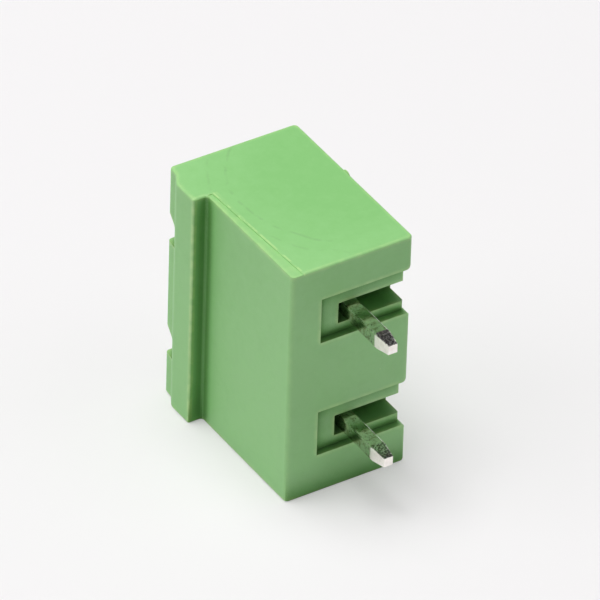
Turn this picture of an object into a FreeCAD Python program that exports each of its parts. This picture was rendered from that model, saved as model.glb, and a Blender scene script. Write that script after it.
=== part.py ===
import FreeCAD, Part
import math
import os

# Two-pole pin header with closed ends, the board half of a pluggable terminal block. Millimetres.
# X crosses the thickness, from the latch side to the plain side.
# Y runs from the face that sits on the board to the mouth that takes the plug.
# Z runs along the row of poles. The header stands on one of its closed ends.

# Row of poles
pole_count = 2
pole_pitch = 7.62
end_span = 3.81                # last pole's axis to the outside of the closed end

# Housing, outside
body_thickness = 7.7
body_height = 12.0
near_corner_radius = 0.25      # edge between the latch side and the board face
far_corner_radius = 0.3        # edges of the plain side
end_edge_radius = 0.12         # all round both closed ends, and the lip's step edge

# Shallow ledge along each closed end on the latch side, widening from the lip to the board face
ledge_depth = 0.04
ledge_width_at_lip = 0.3
ledge_width_at_board = 0.7

# Latch lip, along the mouth on the latch side
lip_reach = 0.9
lip_length = 3.3
lip_flat = 1.8                 # from the step to the start of the ramp
lip_ramp_length = 0.7
lip_land_reach = 0.48          # past the ramp, where the land to the mouth starts
lip_mouth_reach = 0.4
lip_root_radius = 0.18
lip_ramp_radius = 0.6
lip_mouth_radius = 0.25

# Plug cavity
base_thickness = 3.4           # board plane to cavity floor
latch_wall = 1.05
plain_wall = 0.95
end_wall = 1.0
cavity_corner_radius = 0.45
cavity_draft_degrees = 0.6
lead_in_chamfer = 0.3

# Guide channels inside the plain side, one for each pole
guide_width = 2.6
guide_depth = 0.35
guide_radius = 0.15

# Key notches in the rim of the latch side, one for each pole, and the channels below them
notch_depth = 0.95
notch_below_pin = 1.1          # square flank, measured down from the pole's axis
notch_above_pin = 0.18         # start of the slanted flank
notch_mouth_above_pin = 0.95   # end of the slanted flank, at the mouth
notch_floor_radius = 0.12
notch_mouth_radius = 0.3
key_channel_depth = 0.4

# Board side: stand-off face with a pocket and a slot for each pin, both open to the plain side
standoff = 0.4
pocket_below_pin = 1.27
pocket_above_pin = 1.66
pocket_start = 1.93            # from the latch side
pocket_corner_radius = 0.12
block_corner_radius = 0.42
pocket_end_setback = 0.27      # how far the plain side stands back at a pocket
pocket_end_radius = 0.12
slot_height = 1.34
slot_start = 3.27
slot_depth = 1.7               # from the pocket's floor

# Pins
pin_size = 0.9
pin_edge_radius = 0.12
pin_offset = 4.1               # latch side to the pins' axes
tail_length = 3.8              # beyond the board face
tail_tip_length = 1.2
tail_tip_size = 0.56
plug_tip_setback = 1.1         # tip to mouth
plug_tip_length = 1.2
plug_tip_size = 0.34

# Gate vestige on the edge of the plain side
gate_from_mouth = 5.0
gate_below_end = 0.12
gate_diameter = 0.8
gate_height = 0.15
gate_root = 0.3                # how far it is rooted in the wall

# Worked out from the values above
row_length = pole_pitch * (pole_count - 1) + 2 * end_span
pole_heights = [end_span + pole_pitch * index for index in range(pole_count)]
pocket_floor = standoff
slot_floor = pocket_floor + slot_depth
plain_side_reach = body_thickness + gate_height
tightest_corner = min(near_corner_radius, far_corner_radius, lip_mouth_radius)
rim_radius = min(end_edge_radius, 0.49 * tightest_corner)
origin_shift = FreeCAD.Vector((lip_reach - plain_side_reach) / 2, (tail_length - body_height) / 2, 0)
overrun = 1.0                  # how far a cutter runs past the surface that it opens


def in_section(u, v):
    """A point of the cross section, X and Y, at the lower end."""
    return FreeCAD.Vector(u, v, 0)


def on_row_side(u, v):
    """A point of an outline seen along X: Y, then Z."""
    return FreeCAD.Vector(0, u, v)


def on_board_side(u, v):
    """A point of an outline seen along Y: X, then Z."""
    return FreeCAD.Vector(u, 0, v)


def rounded_wire(corners, place):
    """Closed wire through corners (u, v, radius). A radius of zero leaves the corner sharp."""
    points = [FreeCAD.Vector(u, v, 0) for u, v, radius in corners]
    turns = []
    for index, here in enumerate(points):
        radius = corners[index][2]
        if radius <= 0:
            turns.append((here, None, here))
            continue
        to_before = (points[index - 1] - here).normalize()
        to_after = (points[(index + 1) % len(points)] - here).normalize()
        half_angle = to_before.getAngle(to_after) / 2
        run = radius / math.tan(half_angle)
        bisector = (to_before + to_after).normalize()
        middle = here + bisector * (radius / math.sin(half_angle) - radius)
        turns.append((here + to_before * run, middle, here + to_after * run))
    edges = []
    for index, (start, middle, end) in enumerate(turns):
        last_end = turns[index - 1][2]
        if last_end.distanceToPoint(start) > 1e-6:
            edges.append(Part.LineSegment(place(last_end.x, last_end.y), place(start.x, start.y)).toShape())
        if middle is not None:
            arc = Part.Arc(place(start.x, start.y), place(middle.x, middle.y), place(end.x, end.y))
            edges.append(arc.toShape())
    return Part.Wire(edges)


def prism(corners, place, start, length_vector):
    """Solid of an outline, moved to start and swept along length_vector."""
    face = Part.Face(rounded_wire(corners, place))
    face.translate(start)
    return face.extrude(length_vector)


def rectangle(low_u, high_u, low_v, high_v, radius):
    """Corners of a rectangle whose corners all have one radius."""
    turns = ((low_u, low_v), (high_u, low_v), (high_u, high_v), (low_u, high_v))
    return [(u, v, radius) for u, v in turns]


def frustum(low, low_y, high, high_y, radius):
    """Flat-sided solid between two rectangles (x, x, z, z) at two depths, its long edges rounded."""
    ends = []
    for (low_x, high_x, low_z, high_z), depth in ((low, low_y), (high, high_y)):
        ends.append([FreeCAD.Vector(x, depth, z) for x, z in
                     ((low_x, low_z), (high_x, low_z), (high_x, high_z), (low_x, high_z))])
    near, far = ends
    loops = [near, far]
    for index in range(4):
        following = (index + 1) % 4
        loops.append([near[index], near[following], far[following], far[index]])
    faces = [Part.Face(Part.makePolygon(loop + loop[:1])) for loop in loops]
    solid = Part.makeSolid(Part.makeShell(faces))
    if solid.Volume < 0:
        solid.reverse()
    if radius <= 0:
        return solid
    long_edges = [edge for edge in solid.Edges if abs(edge.Vertexes[0].Y - edge.Vertexes[1].Y) > 1e-6]
    return solid.makeFillet(radius, long_edges)


def outer_body():
    """Block with its latch lip: one section drawn across the row and swept along it."""
    lip_step = body_height - lip_length
    ramp_start = lip_step + lip_flat
    ramp_end = ramp_start + lip_ramp_length
    corners = [
        (0, 0, near_corner_radius),
        (body_thickness, 0, far_corner_radius),
        (body_thickness, body_height, far_corner_radius),
        (-lip_mouth_reach, body_height, lip_mouth_radius),
        (-lip_land_reach, ramp_end, lip_ramp_radius),
        (-lip_reach, ramp_start, lip_ramp_radius),
        (-lip_reach, lip_step, 0),
        (0, lip_step, lip_root_radius),
    ]
    body = prism(corners, in_section, FreeCAD.Vector(0, 0, 0), FreeCAD.Vector(0, 0, row_length))
    softened = []
    for edge in body.Edges:
        box = edge.BoundBox
        on_an_end = any(max(abs(box.ZMin - z), abs(box.ZMax - z)) < 1e-6 for z in (0, row_length))
        off_the_step = max(abs(box.XMax + lip_reach), abs(box.YMin - lip_step), abs(box.YMax - lip_step))
        if on_an_end or off_the_step < 1e-6:
            softened.append(edge)
    return body.makeFillet(rim_radius, softened)


def end_ledges():
    """Cutters for the shallow ledges of both closed ends, short of the lip."""
    lip_step = body_height - lip_length
    outline = [
        (-overrun, -overrun, 0),
        (ledge_width_at_board, -overrun, 0),
        (ledge_width_at_board, 0, 0),
        (ledge_width_at_lip, lip_step, 0),
        (-overrun, lip_step, 0),
    ]
    run = FreeCAD.Vector(0, 0, ledge_depth + overrun)
    low = prism(outline, in_section, FreeCAD.Vector(0, 0, -overrun), run)
    high = prism(outline, in_section, FreeCAD.Vector(0, 0, row_length - ledge_depth), run)
    return low.fuse(high)


def plug_cavity():
    """Drafted cavity with a lead-in round its mouth."""
    slope = math.tan(math.radians(cavity_draft_degrees))

    def outline(extra):
        return (latch_wall - extra, body_thickness - plain_wall + extra,
                end_wall - extra, row_length - end_wall + extra)

    depth = body_height - base_thickness
    pocket = frustum(outline(-slope * depth), base_thickness,
                     outline(slope * overrun), body_height + overrun, cavity_corner_radius)
    lead_in = frustum(outline(0), body_height - lead_in_chamfer,
                      outline(lead_in_chamfer + overrun), body_height + overrun, cavity_corner_radius)
    return pocket.fuse(lead_in)


def guide_channel(pole_z):
    """Channel down the inside of the plain side, centred on a pole."""
    wall_face = body_thickness - plain_wall
    corners = rectangle(wall_face - overrun, wall_face + guide_depth,
                        pole_z - guide_width / 2, pole_z + guide_width / 2, guide_radius)
    run = FreeCAD.Vector(0, body_height + overrun - base_thickness, 0)
    return prism(corners, on_board_side, FreeCAD.Vector(0, base_thickness, 0), run)


def key_notch(pole_z):
    """Notch through lip and latch wall at the mouth: one square flank and one slanted flank."""
    floor_y = body_height - notch_depth
    low_z = pole_z - notch_below_pin
    corners = [
        (body_height + overrun, low_z, 0),
        (floor_y, low_z, notch_floor_radius),
        (floor_y, pole_z + notch_above_pin, notch_floor_radius),
        (body_height, pole_z + notch_mouth_above_pin, notch_mouth_radius),
        (body_height, pole_z + notch_mouth_above_pin + 2 * notch_mouth_radius, 0),
        (body_height + overrun, pole_z + notch_mouth_above_pin + 2 * notch_mouth_radius, 0),
    ]
    start = FreeCAD.Vector(-lip_reach - overrun, 0, 0)
    run = FreeCAD.Vector(lip_reach + latch_wall + 2 * overrun, 0, 0)
    return prism(corners, on_row_side, start, run)


def key_channel(pole_z):
    """Channel down the inside of the latch side, below the notch."""
    corners = rectangle(latch_wall - key_channel_depth, latch_wall + overrun,
                        pole_z - notch_below_pin, pole_z + notch_above_pin, notch_floor_radius)
    run = FreeCAD.Vector(0, body_height - base_thickness, 0)
    return prism(corners, on_board_side, FreeCAD.Vector(0, base_thickness, 0), run)


def board_pocket(pole_z):
    """Shallow pocket in the stand-off face round one pin. The plain side stands back at its open end."""
    end = body_thickness - pocket_end_setback
    rounding = 2 * block_corner_radius
    floor_and_end = [
        (pocket_start, -overrun, 0),
        (pocket_start, pocket_floor, pocket_corner_radius),
        (end, pocket_floor, pocket_end_radius),
        (end, slot_floor, 0),
        (body_thickness + overrun, slot_floor, 0),
        (body_thickness + overrun, -overrun, 0),
    ]
    between_blocks = [
        (pocket_start - overrun, -pocket_below_pin, 0),
        (body_thickness, -pocket_below_pin, block_corner_radius),
        (body_thickness, -pocket_below_pin - rounding, 0),
        (body_thickness + 2 * overrun, -pocket_below_pin - rounding, 0),
        (body_thickness + 2 * overrun, pocket_above_pin + rounding, 0),
        (body_thickness, pocket_above_pin + rounding, 0),
        (body_thickness, pocket_above_pin, block_corner_radius),
        (pocket_start - overrun, pocket_above_pin, 0),
    ]
    pocket_height = pocket_below_pin + pocket_above_pin
    along_row = prism(floor_and_end, in_section,
                      FreeCAD.Vector(0, 0, pole_z - pocket_below_pin - 2 * rounding),
                      FreeCAD.Vector(0, 0, pocket_height + 4 * rounding))
    through_face = prism(between_blocks, on_board_side,
                         FreeCAD.Vector(0, -2 * overrun, pole_z),
                         FreeCAD.Vector(0, slot_floor + 4 * overrun, 0))
    return along_row.common(through_face)


def board_slot(pole_z):
    """Deep slot behind the pocket, open to the plain side."""
    corner = FreeCAD.Vector(slot_start, -overrun, pole_z - slot_height / 2)
    return Part.makeBox(body_thickness + overrun - slot_start, slot_floor + overrun, slot_height, corner)


def pin_bar(low_y, high_y):
    """Straight square bar with eased edges, about its own axis."""
    half = pin_size / 2
    corners = rectangle(-half, half, -half, half, pin_edge_radius)
    return prism(corners, on_board_side, FreeCAD.Vector(0, low_y, 0), FreeCAD.Vector(0, high_y - low_y, 0))


def point_envelope(tip_y, tip_size, shoulder_y, far_y):
    """Room that a pyramid point leaves for its pin, widening evenly from the tip to far_y."""
    slope = (pin_size - tip_size) / 2 / abs(shoulder_y - tip_y)
    tip_half = tip_size / 2
    far_half = tip_half + slope * abs(far_y - tip_y)
    return frustum((-tip_half, tip_half, -tip_half, tip_half), tip_y,
                   (-far_half, far_half, -far_half, far_half), far_y, 0)


def contact_pin(pole_z):
    """Square pin: a blunt pyramid at the solder end and a longer point at the plug end."""
    plug_tip = body_height - plug_tip_setback
    bar = pin_bar(-tail_length, plug_tip)
    tail_point = point_envelope(-tail_length, tail_tip_size,
                                tail_tip_length - tail_length, plug_tip + overrun)
    plug_point = point_envelope(plug_tip, plug_tip_size,
                                plug_tip - plug_tip_length, -tail_length - overrun)
    pin = bar.common(tail_point).common(plug_point)
    pin.translate(FreeCAD.Vector(pin_offset, 0, pole_z))
    return pin


def pin_seat(pole_z):
    """Square hole through the floor between the slot and the cavity. It has the pin's own section."""
    hole = pin_bar(slot_floor - overrun, base_thickness + overrun)
    hole.translate(FreeCAD.Vector(pin_offset, 0, pole_z))
    return hole


def gate_vestige():
    """Low round mark left where the moulding was gated, at the upper end of the plain side."""
    centre = FreeCAD.Vector(body_thickness - gate_root, body_height - gate_from_mouth,
                            row_length - gate_below_end - gate_diameter / 2)
    return Part.makeCylinder(gate_diameter / 2, gate_root + gate_height, centre, FreeCAD.Vector(1, 0, 0))


def housing():
    """The whole moulding: body and lip, less the cavity and what is cut for each pole."""
    cutters = [end_ledges(), plug_cavity()]
    for pole_z in pole_heights:
        cutters.append(guide_channel(pole_z))
        cutters.append(key_notch(pole_z))
        cutters.append(key_channel(pole_z))
        cutters.append(board_pocket(pole_z))
        cutters.append(board_slot(pole_z))
        cutters.append(pin_seat(pole_z))
    return outer_body().cut(cutters).fuse(gate_vestige()).removeSplitter()


def write_node(name, shape):
    """Move a piece to the origin at the middle of the footprint and write its STEP file."""
    placed = shape.copy()
    placed.translate(origin_shift)
    if len(placed.Solids) != 1 or not placed.isValid():
        raise ValueError(name + " is not one valid solid")
    solid = placed.Solids[0]
    solid.exportStep("parts/" + name + ".step")
    box = solid.BoundBox
    size = "x".join("%.3f" % length for length in (box.XLength, box.YLength, box.ZLength))
    print("%-14s %9.3f mm3  %2d faces  %s mm" % (name, solid.Volume, len(solid.Faces), size))


os.makedirs("parts", exist_ok=True)
write_node("housing", housing())
for pole_index, height in enumerate(pole_heights):
    write_node("contact_pin_%d" % (pole_index + 1), contact_pin(height))
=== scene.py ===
"""Looks of a two-pole pin header: its green moulding, its tinned pins and the small studio round them.

Lengths are metres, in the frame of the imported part: X from the latch side to the plain side, Y from the
board face to the plug mouth, Z along the row of poles. The header stands on one of its closed ends.
"""

import logging
import math
from dataclasses import dataclass
from enum import Enum
from typing import Mapping, Optional, Sequence, Union

import bmesh
import bpy
from mathutils import Matrix, Vector

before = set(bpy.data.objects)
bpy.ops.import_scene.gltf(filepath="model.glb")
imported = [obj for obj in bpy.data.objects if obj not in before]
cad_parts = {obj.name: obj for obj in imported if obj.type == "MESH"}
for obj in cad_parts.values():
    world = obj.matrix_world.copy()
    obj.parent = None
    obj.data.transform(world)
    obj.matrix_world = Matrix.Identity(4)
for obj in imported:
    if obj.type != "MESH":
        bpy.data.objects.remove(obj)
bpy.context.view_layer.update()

MM = 0.001

Colour = tuple[float, float, float]
Point = tuple[float, float, float]
Span = tuple[float, float]
Key = Union[int, str]
log = logging.getLogger("pin_header")


class Curve(Enum):
    """How a mapped value runs between its two ends."""

    LINEAR = "LINEAR"
    SMOOTH = "SMOOTHSTEP"


class MixSocket:
    """Places of the colour sockets on a Mix node, whose names repeat for every kind of data."""

    FIRST = 6
    SECOND = 7
    RESULT = 2


class Channel:
    """The output of a shader node, which stands in Python arithmetic.

    Numbers go through Math nodes. Vectors and colours go through Vector Math nodes.
    """

    def __init__(self, sheet: "NodeSheet", socket: bpy.types.NodeSocket) -> None:
        """Wraps a socket.

        Args:
            sheet: The node sheet that the socket belongs to.
            socket: An output socket.
        """
        self.sheet = sheet
        self.socket = socket

    @property
    def is_number(self) -> bool:
        """Whether the channel carries one number and not a vector or a colour."""
        return self.socket.type == "VALUE"

    def _combine(self, operation: str, first: "Term", second: "Term") -> "Channel":
        """Adds the node for one operation.

        Args:
            operation: The operation's name, which Math and Vector Math share.
            first: Left-hand term.
            second: Right-hand term.

        Returns:
            The result.
        """
        if self.is_number:
            return self.sheet.add("ShaderNodeMath", {"operation": operation}, {0: first, 1: second})
        terms = [(term,) * 3 if isinstance(term, (int, float)) else term for term in (first, second)]
        return self.sheet.add("ShaderNodeVectorMath", {"operation": operation}, {0: terms[0], 1: terms[1]})

    def __add__(self, other: "Term") -> "Channel":
        """Sum."""
        return self._combine("ADD", self, other)

    def __radd__(self, other: "Term") -> "Channel":
        """Sum with a plain number or vector on the left."""
        return self._combine("ADD", other, self)

    def __sub__(self, other: "Term") -> "Channel":
        """Difference."""
        return self._combine("SUBTRACT", self, other)

    def __rsub__(self, other: "Term") -> "Channel":
        """Difference from a plain number or vector."""
        return self._combine("SUBTRACT", other, self)

    def __mul__(self, other: "Term") -> "Channel":
        """Product."""
        return self._combine("MULTIPLY", self, other)

    def __rmul__(self, other: "Term") -> "Channel":
        """Product with a plain number or vector on the left."""
        return self._combine("MULTIPLY", other, self)

    def __truediv__(self, other: "Term") -> "Channel":
        """Quotient."""
        return self._combine("DIVIDE", self, other)

    def __rtruediv__(self, other: "Term") -> "Channel":
        """Quotient of a plain number or vector."""
        return self._combine("DIVIDE", other, self)

    def __abs__(self) -> "Channel":
        """Size without sign."""
        return self._combine("ABSOLUTE", self, 0.0)

    def most(self, other: "Term") -> "Channel":
        """The larger of two terms."""
        return self._combine("MAXIMUM", self, other)

    def least(self, other: "Term") -> "Channel":
        """The smaller of two terms."""
        return self._combine("MINIMUM", self, other)


Term = Union[Channel, float, Sequence[float]]


class NodeSheet:
    """The node tree of one finish. Every node is made by its make method."""

    def __init__(self, tree: bpy.types.NodeTree) -> None:
        """Empties a node tree and takes it over.

        Args:
            tree: The node tree of a material or the world.
        """
        self.tree = tree
        tree.nodes.clear()

    def make(self, kind: str, settings: Mapping[str, object],
             sockets: Mapping[Key, Term]) -> bpy.types.Node:
        """Makes one node: first its settings, then its sockets.

        Args:
            kind: Name of the node type.
            settings: Properties of the node.
            sockets: Values or channels for the input sockets, by name or by index.

        Returns:
            The node.
        """
        node = self.tree.nodes.new(kind)
        for name, value in settings.items():
            setattr(node, name, value.value if isinstance(value, Enum) else value)
        for key, value in sockets.items():
            if isinstance(value, Channel):
                self.tree.links.new(value.socket, node.inputs[key])
            else:
                node.inputs[key].default_value = self._fitted(node.inputs[key], value)
        return node

    def add(self, kind: str, settings: Optional[Mapping[str, object]] = None,
            sockets: Optional[Mapping[Key, Term]] = None, output: Optional[Key] = None) -> Channel:
        """Makes one node and gives one of its outputs.

        Args:
            kind: Name of the node type.
            settings: Properties of the node, set first.
            sockets: Values or channels for its input sockets.
            output: Name or index of the output. The first output in use, if left out.

        Returns:
            The output as a channel.
        """
        node = self.make(kind, settings or {}, sockets or {})
        if output is not None:
            return Channel(self, node.outputs[output])
        return Channel(self, next(socket for socket in node.outputs if socket.enabled))

    @staticmethod
    def _fitted(socket: bpy.types.NodeSocket, value: Term) -> Term:
        """Puts a value in the form that a socket takes.

        Args:
            socket: The input socket.
            value: A number, a vector or a colour.

        Returns:
            The value, with a fourth number where the socket takes a colour.
        """
        if socket.type == "RGBA" and len(value) == 3:
            return (*value, 1.0)
        return value

    def place(self) -> Channel:
        """The place of a surface point in the part's own frame."""
        return self.add("ShaderNodeTexCoord", output="Object")

    def along(self, vector: Channel) -> tuple[Channel, Channel, Channel]:
        """The three numbers of a vector."""
        node = self.make("ShaderNodeSeparateXYZ", {}, {0: vector})
        return tuple(Channel(self, socket) for socket in node.outputs)

    def facing(self) -> tuple[Channel, Channel, Channel]:
        """The three numbers of the direction that the true surface faces."""
        return self.along(self.add("ShaderNodeNewGeometry", output="Normal"))

    def ramp(self, value: Channel, start: float, end: float, low: Term = 0.0, high: Term = 1.0,
             curve: Curve = Curve.SMOOTH) -> Channel:
        """Maps a value from start..end to low..high, held beyond both ends.

        Args:
            value: What is mapped.
            start: Where the result is low.
            end: Where the result is high.
            low: Result at start.
            high: Result at end.
            curve: How it runs between them.

        Returns:
            The mapped value.
        """
        return self.add("ShaderNodeMapRange", {"interpolation_type": curve, "clamp": True},
                        {0: value, 1: start, 2: end, 3: low, 4: high})

    def band(self, value: Channel, centre: float, half_width: float) -> Channel:
        """One at centre, falling softly to nothing half_width away."""
        return self.ramp(abs(value - centre), half_width, 0.0)

    def between(self, value: Channel, low: float, high: float, soft: float) -> Channel:
        """One from low to high, with soft ends.

        Args:
            value: What is tested.
            low: Lower end.
            high: Upper end.
            soft: How far each end fades.

        Returns:
            A mask.
        """
        return self.ramp(value, low - soft, low) * self.ramp(value, high + soft, high)

    def noise(self, place: Channel, size: float, detail: float = 2.0, roughness: float = 0.5) -> Channel:
        """Cloudy noise about a half.

        Args:
            place: Where it is read.
            size: Size of its largest features, in metres.
            detail: Number of finer layers.
            roughness: Share that each finer layer keeps.

        Returns:
            A number from zero to one.
        """
        return self.add("ShaderNodeTexNoise", {"noise_dimensions": "3D"},
                        {"Vector": place, "Scale": 1 / size, "Detail": detail, "Roughness": roughness},
                        output=0)

    def cells(self, place: Channel, size: float) -> Channel:
        """Distance to the nearest of many scattered points, as a share of their spacing."""
        return self.add("ShaderNodeTexVoronoi", {"feature": "F1"}, {"Vector": place, "Scale": 1 / size},
                        output="Distance")

    def tint(self, share: Term, first: Term, second: Term) -> Channel:
        """The first colour where share is zero and the second where it is one."""
        return self.add("ShaderNodeMix", {"data_type": "RGBA"},
                        {"Factor": share, MixSocket.FIRST: first, MixSocket.SECOND: second},
                        output=MixSocket.RESULT)

    def openness(self, reach: float, inside: bool = False, alone: bool = True) -> Channel:
        """How free the space about a surface point is, out to a reach.

        Args:
            reach: How far it is felt, in metres.
            inside: Whether the space behind the surface is felt, which shows rims, and not that before it.
            alone: Whether only the piece itself counts, and not its neighbours and the floor.

        Returns:
            One on a flat, falling towards zero in corners, or on rims if inside.
        """
        return self.add("ShaderNodeAmbientOcclusion", {"samples": 8, "inside": inside, "only_local": alone},
                        {"Distance": reach}, output="AO")

    def bump(self, height: Channel, depth: float, below: Optional[Channel] = None) -> Channel:
        """Surface direction bent by a height map.

        Args:
            height: Height as a share of the depth.
            depth: Depth that a height of one stands for, in metres.
            below: A coarser bump to build on.

        Returns:
            The bent direction.
        """
        sockets = {"Strength": 1.0, "Distance": depth, "Height": height}
        if below is not None:
            sockets["Normal"] = below
        return self.add("ShaderNodeBump", {}, sockets)


class Finish:
    """A procedural material. Each kind of finish says how its surface is wired."""

    title: str = "finish"

    def material(self) -> bpy.types.Material:
        """Builds the material once.

        Returns:
            The material, ready for an object's slots.
        """
        material = bpy.data.materials.new(self.title)
        material.use_nodes = True
        sheet = NodeSheet(material.node_tree)
        surface = self.wire(sheet)
        sheet.make("ShaderNodeOutputMaterial", {}, {"Surface": surface})
        return material

    def wire(self, sheet: NodeSheet) -> Channel:
        """Adds the nodes of the surface and gives its shader."""
        raise NotImplementedError


@dataclass(frozen=True)
class Flow:
    """A slow change of tone that is painted light, lighter away from the gate; and what the melt leaves on
    its way from the gate: ripples, clouds, and rings on the end.
    """

    gate: Point = (4.25 * MM, 2.9 * MM, 14.7 * MM)
    reach: Span = (2.0 * MM, 12.0 * MM)
    stir_size: float = 3.0 * MM
    stir_depth: float = 1.0 * MM
    ripple_size: float = 0.7 * MM
    ripple_weight: float = 0.3
    cloud_size: float = 0.9 * MM
    cloud_weight: float = 0.9
    ring_radius: float = 6.5 * MM
    ring_width: float = 0.14 * MM
    outer_ring: float = 1.16
    outer_weight: float = 0.6
    gap_size: float = 0.7 * MM
    gap_span: Span = (0.42, 0.60)
    ring_side: Span = (1.2 * MM, -0.4 * MM)

    def radius(self, sheet: NodeSheet, place: Channel) -> Channel:
        """Distance from the gate, stirred so that the rings aren't true circles.

        Args:
            sheet: The material's node sheet.
            place: Place on the surface.

        Returns:
            A length.
        """
        stirred = place + (sheet.noise(place, self.stir_size) - 0.5) * self.stir_depth
        return sheet.add("ShaderNodeVectorMath", {"operation": "DISTANCE"}, {0: stirred, 1: self.gate},
                         output="Value")

    def tone(self, sheet: NodeSheet, place: Channel, radius: Channel) -> Channel:
        """Share of the lighter colour away from the gate, which is painted light.

        Args:
            sheet: The material's node sheet.
            place: Place on the surface.
            radius: Distance from the gate.

        Returns:
            A share, with ripples and clouds in it.
        """
        ripples = sheet.noise(sheet.add("ShaderNodeCombineXYZ", {}, {0: radius}), self.ripple_size)
        clouds = sheet.noise(place, self.cloud_size, detail=4.0, roughness=0.7)
        spread = (ripples - 0.5) * self.ripple_weight + (clouds - 0.5) * self.cloud_weight
        return sheet.ramp(radius, *self.reach) + spread

    def rings(self, sheet: NodeSheet, place: Channel, radius: Channel) -> Channel:
        """The faint dark lines of the flow front.

        Args:
            sheet: The material's node sheet.
            place: Place on the surface.
            radius: Distance from the gate.

        Returns:
            A mask of two broken arcs, on the side away from the gate.
        """
        inner = sheet.band(radius, self.ring_radius, self.ring_width)
        outer = sheet.band(radius, self.ring_radius * self.outer_ring, self.ring_width)
        broken = sheet.ramp(sheet.noise(place, self.gap_size, detail=3.0), *self.gap_span)
        away = sheet.ramp(sheet.along(place)[0], *self.ring_side)
        return inner.most(outer * self.outer_weight) * broken * away


@dataclass(frozen=True)
class WearAndHighlights:
    """Pale marks: rubbing on rims, on the ledge beside the lip with its burr, and on the lip's edge, with
    specks; rims and the lip's edge are partly painted highlight, and the ledge is partly painted sheen.
    """

    patch_size: float = 0.6 * MM
    patch_span: Span = (0.35, 0.65)
    patch_least: float = 0.4
    rim_reach: float = 0.32 * MM
    rim_span: Span = (0.97, 0.62)
    rim_weight: float = 0.6
    ledge_across: Span = (-3.475 * MM, -2.9 * MM)
    ledge_along: Span = (-4.1 * MM, 4.6 * MM)
    ledge_fade: float = 0.1 * MM
    ledge_weight: float = 0.25
    burr_across: float = -3.09 * MM
    burr_slope: float = -0.046
    burr_width: float = 0.10 * MM
    burr_size: float = 0.5 * MM
    burr_span: Span = (0.44, 0.54)
    burr_weight: float = 0.9
    speck_spacing: float = 0.9 * MM
    speck_span: Span = (0.045, 0.03)
    speck_patches: Span = (0.7, 0.95)
    speck_weight: float = 0.6
    lip_edge: float = 4.66 * MM
    lip_edge_width: float = 0.20 * MM
    lip_side: Span = (-4.05 * MM, -4.20 * MM)

    def mask(self, sheet: NodeSheet, place: Channel, top: Channel) -> Channel:
        """How far the skin is painted pale, by rubbing and by painted highlight and sheen.

        Args:
            sheet: The material's node sheet.
            place: Place on the surface.
            top: One on the upper end, zero below it.

        Returns:
            A mask.
        """
        across, along, _ = sheet.along(place)
        patches = sheet.ramp(sheet.noise(place, self.patch_size, detail=3.0), *self.patch_span,
                             self.patch_least, 1.0)
        # Pale rims: partly rubbing, partly painted highlight on edges that catch the light.
        rims = sheet.ramp(sheet.openness(self.rim_reach, inside=True), *self.rim_span)
        beside_lip = sheet.between(along, *self.ledge_along, self.ledge_fade) * top
        # Pale ledge: partly rubbing, partly painted sheen.
        ledge = sheet.between(across, *self.ledge_across, self.ledge_fade) * beside_lip * patches
        burr = self.burr(sheet, place, across, along) * beside_lip
        specks = (sheet.ramp(sheet.cells(place, self.speck_spacing), *self.speck_span)
                  * sheet.ramp(patches, *self.speck_patches))
        # Pale line along the lip's edge: partly rubbing, partly painted highlight.
        lip_edge = (sheet.band(along, self.lip_edge, self.lip_edge_width)
                    * sheet.ramp(across, *self.lip_side))
        worn_and_highlit = (rims * patches * self.rim_weight).most(ledge * self.ledge_weight)
        worn_and_highlit = worn_and_highlit.most(burr * self.burr_weight).most(specks * self.speck_weight)
        return worn_and_highlit.most(lip_edge * patches)

    def burr(self, sheet: NodeSheet, place: Channel, across: Channel, along: Channel) -> Channel:
        """The broken burr that runs a little askew along the ledge.

        Args:
            sheet: The material's node sheet.
            place: Place on the surface.
            across: Its first number.
            along: Its second number.

        Returns:
            A mask.
        """
        away = across - (along - self.ledge_along[1]) * self.burr_slope - self.burr_across
        broken = sheet.ramp(sheet.noise(place, self.burr_size, detail=4.0), *self.burr_span)
        return sheet.band(away, 0.0, self.burr_width) * broken


@dataclass(frozen=True)
class Corners:
    """Painted shade in corners: a wide soft shade, a narrow crease, and in both a copy of the skin without
    gloss; and a painted shadow at the foot of the board face.
    """

    wide_reach: float = 3.0 * MM
    wide_span: Span = (0.40, 0.88)
    wide_painted_shade: float = 0.60
    near_reach: float = 0.9 * MM
    near_span: Span = (0.74, 0.96)
    near_painted_shade: float = 0.73
    boardward: Span = (-0.5, -0.8)
    # How far the gloss goes in corners, as painted shade.
    dull_near: Span = (0.97, 0.76)
    dull_wide: Span = (0.80, 0.50)

    def feel(self, sheet: NodeSheet, top: Channel) -> tuple[Channel, Channel]:
        """How open the surface lies, which sets the painted shade. The floor counts too on what faces the
        board, which paints a shadow at its foot, and the top is never shaded.

        Args:
            sheet: The material's node sheet.
            top: One on the upper end, zero below it.

        Returns:
            Openness over the wide reach and over the near one.
        """
        boardward = sheet.ramp(sheet.facing()[1], *self.boardward)
        # Painted shadow at the foot of the board face.
        foot = sheet.openness(self.wide_reach, alone=False).most(1 - boardward)
        wide = sheet.openness(self.wide_reach).least(foot).most(top)
        return wide, sheet.openness(self.near_reach).most(top)

    def depth(self, sheet: NodeSheet, wide: Channel, near: Channel) -> Channel:
        """Painted shade as a factor on the colour, one in the open."""
        return (sheet.ramp(wide, *self.wide_span, self.wide_painted_shade, 1.0, Curve.LINEAR)
                * sheet.ramp(near, *self.near_span, self.near_painted_shade, 1.0))

    def painted_shade_dullness(self, sheet: NodeSheet, wide: Channel, near: Channel) -> Channel:
        """Share of the copy without gloss, mixed in as painted shade, none in the open."""
        return sheet.ramp(near, *self.dull_near).most(sheet.ramp(wide, *self.dull_wide))


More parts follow.
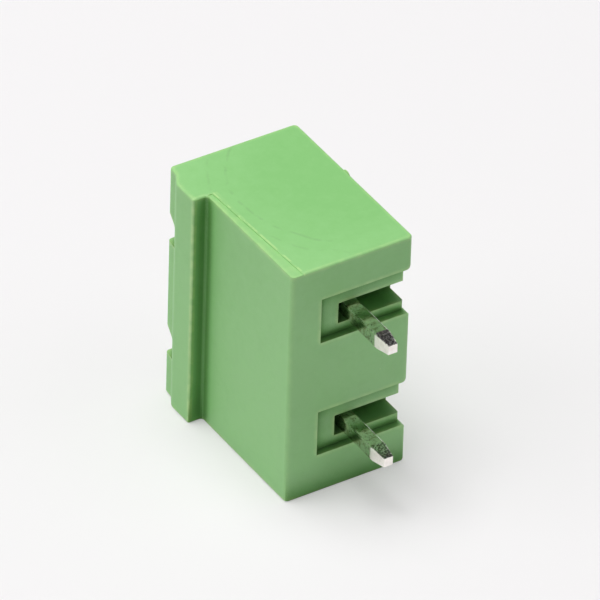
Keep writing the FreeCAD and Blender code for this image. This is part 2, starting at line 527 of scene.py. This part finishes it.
@dataclass(frozen=True)
class MouldedGreen(Finish):
    """Green polyamide with painted light and shade: painted lighter away from its gate, painted shade in its
    corners, and pale edges from rubbing and painted highlight.
    """

    title: str = "green_moulding"
    near_gate: Colour = (0.166, 0.482, 0.110)
    # The lighter colour away from the gate is painted light.
    far_from_gate_painted_light: Colour = (0.230, 0.556, 0.168)
    # Pale colour of rubbing, and of the painted highlights and painted sheen on rims, the lip's edge and the
    # ledge.
    pale_wear_and_highlight: Colour = (0.420, 0.680, 0.230)
    flow: Flow = Flow()
    wear_and_highlights: WearAndHighlights = WearAndHighlights()
    corners: Corners = Corners()
    ring_depth: float = 0.13
    top: Span = (15.1 * MM, 15.15 * MM)
    roughness: float = 0.50
    grain_roughness: float = 0.12
    rubbed_polish: float = 0.10
    index: float = 1.6
    sheen: float = 1.0
    skin_size: float = 0.09 * MM
    skin_depth: float = 0.0018 * MM
    wave_size: float = 2.2 * MM
    wave_depth: float = 0.012 * MM

    def bulk(self, sheet: NodeSheet, place: Channel, top: Channel) -> Channel:
        """Colour of the moulding before its pale marks, painted lighter away from the gate as painted light.

        Args:
            sheet: The material's node sheet.
            place: Place on the surface.
            top: One on the upper end, zero below it.

        Returns:
            The colour.
        """
        radius = self.flow.radius(sheet, place)
        colour = sheet.tint(self.flow.tone(sheet, place, radius), self.near_gate, self.far_from_gate_painted_light)
        return colour * (1 - self.flow.rings(sheet, place, radius) * top * self.ring_depth)

    def wire(self, sheet: NodeSheet) -> Channel:
        """The colour, with pale rub marks, painted highlights, painted sheen and painted shade, over a finely
        eroded skin that waves a little.

        Args:
            sheet: The material's node sheet.

        Returns:
            The shader, glossy in the open; a copy without gloss is mixed in corners as painted shade.
        """
        place = sheet.place()
        grain = sheet.noise(place, self.skin_size, detail=3.0, roughness=0.6)
        top = sheet.ramp(sheet.along(place)[2], *self.top)
        openness = self.corners.feel(sheet, top)
        # Pale marks: rubbing and specks, with painted highlights on rims and the lip's edge and painted sheen
        # on the ledge.
        worn_and_highlit = self.wear_and_highlights.mask(sheet, place, top)
        colour = sheet.tint(worn_and_highlit, self.bulk(sheet, place, top), self.pale_wear_and_highlight)
        # Painted shade in corners, and a painted shadow at the foot of the board face.
        colour = colour * self.corners.depth(sheet, *openness)
        roughness = self.roughness + (grain - 0.5) * self.grain_roughness - worn_and_highlit * self.rubbed_polish
        waves = sheet.bump(sheet.noise(place, self.wave_size, detail=1.0), self.wave_depth)
        skin = sheet.bump(grain, self.skin_depth, waves)
        # A glossy copy and a copy without gloss, which is mixed in as painted shade in corners.
        glossy, dull = (sheet.add("ShaderNodeBsdfPrincipled", {}, {
            "Base Color": colour, "Roughness": roughness, "IOR": self.index,
            "Specular IOR Level": level, "Normal": skin}) for level in (self.sheen, 0.0))
        share = self.corners.painted_shade_dullness(sheet, *openness)
        return sheet.add("ShaderNodeMixShader", {}, {0: share, 1: glossy, 2: dull})


@dataclass(frozen=True)
class TinPlate(Finish):
    """Bright tin over drawn brass wire: stained and pitted along the pin, with painted highlights on its
    rims; the sheared tip is clean, painted pale as painted light where its faces don't face up, with dense
    dark specks as painted shade where they do.
    """

    title: str = "tin_plate"
    colour: Colour = (0.80, 0.790, 0.765)
    stain: Colour = (0.30, 0.245, 0.165)
    pit: Colour = (0.08, 0.075, 0.075)
    # Pale colour of the sheared tip, brightened as painted light.
    cut_and_lit: Colour = (0.97, 0.925, 0.885)
    tip: Span = (-6.63 * MM, -6.87 * MM)
    upward: Span = (0.5, 0.8)
    roughness: float = 0.12
    cut_roughness: float = 0.38
    streak_roughness: float = 0.12
    stain_roughness: float = 0.05
    streak_size: float = 0.06 * MM
    streak_stretch: float = 14.0
    streak_depth: float = 0.004 * MM
    stain_size: float = 0.34 * MM
    stain_span: Span = (0.44, 0.66)
    stain_depth: float = 0.0010 * MM
    stain_weight: float = 0.72
    stains_off_cut: float = 0.8
    stains_over_rims: float = 0.5
    pit_size: float = 0.10 * MM
    pit_span: Span = (0.60, 0.68)
    # Denser pitting on the tip's upward faces, partly painted shade.
    tip_pit_and_shade_span: Span = (0.40, 0.52)
    pit_weight: float = 0.85
    rim_reach: float = 0.11 * MM
    rim_span: Span = (0.92, 0.62)

    def wire(self, sheet: NodeSheet) -> Channel:
        """Mirror tin with drawing streaks, brown stains and dark pitting; paler and duller on rims, as
        painted highlight, and on the sheared tip where its faces don't face up, as painted light; denser dark
        pitting on the tip's upward faces is partly painted shade.

        Args:
            sheet: The material's node sheet.

        Returns:
            The shader.
        """
        place = sheet.place()
        upward = sheet.ramp(sheet.facing()[2], *self.upward)
        drawn = place * (1.0, 1.0 / self.streak_stretch, 1.0)
        streaks = sheet.noise(drawn, self.streak_size, detail=3.0, roughness=0.65)
        tip = sheet.ramp(sheet.along(place)[1], *self.tip)
        # The tip's faces that don't face up: a sheared face, painted pale as painted light.
        cut_and_lit = tip * (1 - upward)
        clouds = sheet.noise(place, self.stain_size, detail=5.0, roughness=0.7)
        stains = sheet.ramp(clouds, *self.stain_span) * (1 - cut_and_lit * self.stains_off_cut)
        fine = sheet.noise(place, self.pit_size, detail=2.0)
        pits_and_tip_shade = sheet.ramp(fine, *self.pit_span) * (1 - cut_and_lit)
        # Denser dark pitting on the tip's upward faces: partly real, partly painted shade for the dark that
        # they mirror.
        pits_and_tip_shade = pits_and_tip_shade.most(sheet.ramp(fine, *self.tip_pit_and_shade_span) * tip * upward)
        # Pale rims on the pins: painted highlight.
        rims = sheet.ramp(sheet.openness(self.rim_reach, inside=True), *self.rim_span)
        pale = cut_and_lit.most(rims * (1 - stains * self.stains_over_rims))
        metal = sheet.tint(stains * self.stain_weight, sheet.tint(pale, self.colour, self.cut_and_lit), self.stain)
        colour = sheet.tint(pits_and_tip_shade * self.pit_weight, metal, self.pit)
        roughness = (self.roughness + (streaks - 0.5) * self.streak_roughness
                     + stains * self.stain_roughness + pale * (self.cut_roughness - self.roughness))
        normal = sheet.bump(streaks, self.streak_depth, sheet.bump(clouds, self.stain_depth))
        return sheet.add("ShaderNodeBsdfPrincipled", {}, {
            "Base Color": colour, "Metallic": 1.0, "Roughness": roughness, "Normal": normal})


@dataclass(frozen=True)
class SweepSheet(Finish):
    """Matt white sheet under the part. The lens and the tin see it brighter, with its shadows softened."""

    title: str = "studio_sheet"
    seen: Colour = (0.880, 0.866, 0.873)
    unseen: Colour = (0.80, 0.80, 0.80)
    fill: float = 0.36

    def wire(self, sheet: NodeSheet) -> Channel:
        """One plain diffuse shade for bounced light, and a brighter, partly self-lit one for the lens.

        Args:
            sheet: The material's node sheet.

        Returns:
            The shader.
        """
        rays = sheet.make("ShaderNodeLightPath", {}, {})
        lens, gloss = (Channel(sheet, rays.outputs[name]) for name in ("Is Camera Ray", "Is Glossy Ray"))
        plain = sheet.add("ShaderNodeBsdfDiffuse", {}, {"Color": self.unseen})
        bright = sheet.add("ShaderNodeBsdfDiffuse", {}, {"Color": self.seen})
        glow = sheet.add("ShaderNodeEmission", {}, {"Color": self.seen, "Strength": 1.0})
        softened = sheet.add("ShaderNodeMixShader", {}, {0: self.fill, 1: bright, 2: glow})
        return sheet.add("ShaderNodeMixShader", {}, {0: lens.most(gloss), 1: plain, 2: softened})


@dataclass
class Moulding:
    """The housing: one green moulding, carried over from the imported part."""

    node: str = "housing"

    def dress(self, finish: bpy.types.Material) -> bpy.types.Object:
        """Puts the finish into the housing's material slots."""
        return dress_node(self.node, finish)


@dataclass
class ContactRow:
    """The square pins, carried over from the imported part."""

    prefix: str = "contact_pin_"

    def dress(self, finish: bpy.types.Material) -> list[bpy.types.Object]:
        """Puts the finish into every pin's material slots, lowest pin first."""
        names = sorted(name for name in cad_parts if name.startswith(self.prefix))
        return [dress_node(name, finish) for name in names]


def dress_node(name: str, finish: bpy.types.Material) -> bpy.types.Object:
    """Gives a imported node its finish.

    Args:
        name: The node's name.
        finish: The material for all of its slots.

    Returns:
        The node's object.
    """
    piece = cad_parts[name]
    for material_slot in piece.material_slots:
        material_slot.material = finish
    return piece


@dataclass(frozen=True)
class Room:
    """The dim room round the table. Shiny surfaces mirror a white backdrop in it, under a dark ceiling."""

    dim: float = 0.12
    ceiling: float = 0.08
    backdrop: float = 0.93
    backdrop_edge: Span = (0.78, 0.60)

    def world(self) -> bpy.types.World:
        """Builds the world.

        Returns:
            The world, ready for the scene.
        """
        world = bpy.data.worlds.new("room")
        world.use_nodes = True
        sheet = NodeSheet(world.node_tree)
        rise = sheet.along(sheet.add("ShaderNodeTexCoord", output="Generated"))[2]
        backdrop = sheet.ramp(rise, *self.backdrop_edge, self.ceiling, self.backdrop)
        mirrored = sheet.add("ShaderNodeLightPath", output="Is Glossy Ray")
        grey = sheet.ramp(mirrored, 0.0, 1.0, self.dim, backdrop, Curve.LINEAR)
        glow = sheet.add("ShaderNodeBackground", {}, {"Color": grey, "Strength": 1.0})
        sheet.make("ShaderNodeOutputWorld", {}, {"Surface": glow})
        return world


@dataclass(frozen=True)
class Softbox:
    """A square area lamp that looks at the part. Angles are degrees, lengths metres and power watts."""

    title: str
    azimuth: float
    elevation: float
    distance: float
    size: float
    power: float

    def light(self, target: Vector) -> bpy.types.Object:
        """Sets up the lamp.

        Args:
            target: The point that it looks at.

        Returns:
            The lamp.
        """
        lamp = bpy.data.lights.new(self.title, "AREA")
        lamp.shape = "SQUARE"
        lamp.size = self.size
        lamp.energy = self.power
        holder = bpy.data.objects.new(self.title, lamp)
        bpy.context.scene.collection.objects.link(holder)
        towards = direction(self.azimuth, self.elevation)
        holder.location = target + towards * self.distance
        holder.rotation_euler = towards.to_track_quat("Z", "Y").to_euler()
        return holder


def direction(azimuth: float, elevation: float) -> Vector:
    """Unit vector from the part towards a viewer or lamp.

    Args:
        azimuth: Degrees round the part. Zero stands in front of the board face, 90 on the plain side.
        elevation: Degrees above the floor.

    Returns:
        The direction.
    """
    turn = math.radians(azimuth)
    rise = math.radians(elevation)
    return Vector((math.sin(turn) * math.cos(rise), -math.cos(turn) * math.cos(rise), math.sin(rise)))


@dataclass(frozen=True)
class Viewpoint:
    """The photograph's camera: a long lens from far off, rolled and shifted a little."""

    aim: Point = (0.525 * MM, 1.9 * MM, 7.0 * MM)
    azimuth: float = -33.045
    elevation: float = 36.711
    roll: float = 1.866
    distance: float = 504.873 * MM
    offset_right: float = 0.396 * MM
    offset_up: float = 1.146 * MM
    focal_length: float = 554.806
    clipping: Span = (0.1, 10.0)

    def stand(self) -> bpy.types.Object:
        """Stands the camera and makes it the scene's.

        Returns:
            The camera.
        """
        back = direction(self.azimuth, self.elevation)
        turn = math.radians(self.azimuth)
        level_right = Vector((math.cos(turn), math.sin(turn), 0))
        level_up = back.cross(level_right)
        roll = math.radians(self.roll)
        right = level_right * math.cos(roll) + level_up * math.sin(roll)
        up = level_up * math.cos(roll) - level_right * math.sin(roll)
        lens = bpy.data.cameras.new("camera")
        lens.lens = self.focal_length
        lens.clip_start, lens.clip_end = (self.distance * share for share in self.clipping)
        camera = bpy.data.objects.new("camera", lens)
        bpy.context.scene.collection.objects.link(camera)
        axes = Matrix((right, up, back)).transposed().to_4x4()
        place = Vector(self.aim) + right * self.offset_right + up * self.offset_up + back * self.distance
        camera.matrix_world = Matrix.Translation(place) @ axes
        bpy.context.scene.camera = camera
        return camera


@dataclass(frozen=True)
class Studio:
    """Floor, lamps and room. Nothing of it belongs to the part."""

    floor_side: float = 1.6
    room: Room = Room()
    softboxes: tuple[Softbox, ...] = (
        Softbox("overhead_softbox", 215.0, 81.0, 0.55, 0.30, 2.56),
        Softbox("left_softbox", 250.0, 40.0, 0.60, 0.45, 0.92),
        Softbox("right_softbox", 50.0, 50.0, 0.60, 0.40, 0.42),
    )

    def lay_floor(self, finish: bpy.types.Material) -> bpy.types.Object:
        """Lays the sheet that the part stands on.

        Args:
            finish: The sheet's material.

        Returns:
            The floor.
        """
        mesh = bpy.data.meshes.new("floor")
        outline = bmesh.new()
        bmesh.ops.create_grid(outline, x_segments=1, y_segments=1, size=self.floor_side / 2)
        outline.to_mesh(mesh)
        outline.free()
        floor = bpy.data.objects.new("floor", mesh)
        bpy.context.scene.collection.objects.link(floor)
        mesh.materials.append(finish)
        return floor

    def light(self, target: Vector) -> None:
        """Sets up the lamps and the dim room behind them.

        Args:
            target: The point that every lamp looks at.
        """
        for softbox in self.softboxes:
            softbox.light(target)
        bpy.context.scene.world = self.room.world()


def report(piece: bpy.types.Object) -> None:
    """Logs a piece's name and size.

    Args:
        piece: An object of the part.
    """
    size = " x ".join("%.2f" % (length / MM) for length in piece.dimensions)
    log.info("%s: %s mm, %d faces", piece.name, size, len(piece.data.polygons))


def main() -> None:
    """Dresses the part piece by piece and sets up the studio."""
    logging.basicConfig(level=logging.INFO, format="%(name)s: %(message)s")
    report(Moulding().dress(MouldedGreen().material()))
    for pin in ContactRow().dress(TinPlate().material()):
        report(pin)
    studio = Studio()
    viewpoint = Viewpoint()
    studio.lay_floor(SweepSheet().material())
    studio.light(Vector(viewpoint.aim))
    viewpoint.stand()
    bpy.context.scene.view_settings.view_transform = "Standard"


if __name__ == "__main__":
    main()
